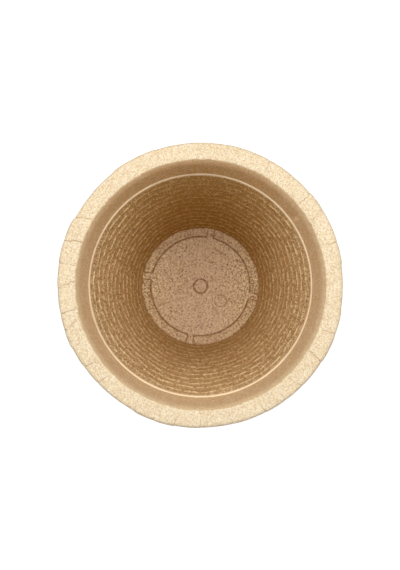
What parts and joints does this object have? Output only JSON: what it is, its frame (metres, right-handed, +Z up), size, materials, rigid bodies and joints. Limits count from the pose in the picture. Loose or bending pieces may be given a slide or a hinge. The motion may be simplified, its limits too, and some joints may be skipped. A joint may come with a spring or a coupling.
{
  "type": "peat pot",
  "caption": "Tapered round pot of moulded peat fibre with a thick cracked rim, a smooth collar, a lift-out inner pot with a rippled wall, and a drain plug in its floor.",
  "frame": {"origin": "centre of the underside, on the surface that the pot stands on", "axes": "+Z up along the pot's axis, +Y to the back"},
  "size_m": [0.35, 0.35, 0.325],
  "materials": {
    "rough_fibre": "matte",
    "rippled_fibre": "matte",
    "plug_fibre": "matte"
  },
  "bodies": {
    "cover": {"outer_pot": "rough_fibre"},
    "liner": {"inner_pot": "rippled_fibre"},
    "plug": {"drain_plug": "plug_fibre"}
  },
  "joints": [
    {"name": "inner_pot_lift", "type": "slide", "parent": "cover", "child": "liner", "axis": [0, 0, 1], "range_m": [0, 0.32]},
    {"name": "drain_plug_pull", "type": "slide", "parent": "liner", "child": "plug", "axis": [0, 0, 1], "range_m": [0, 0.32]}
  ]
}
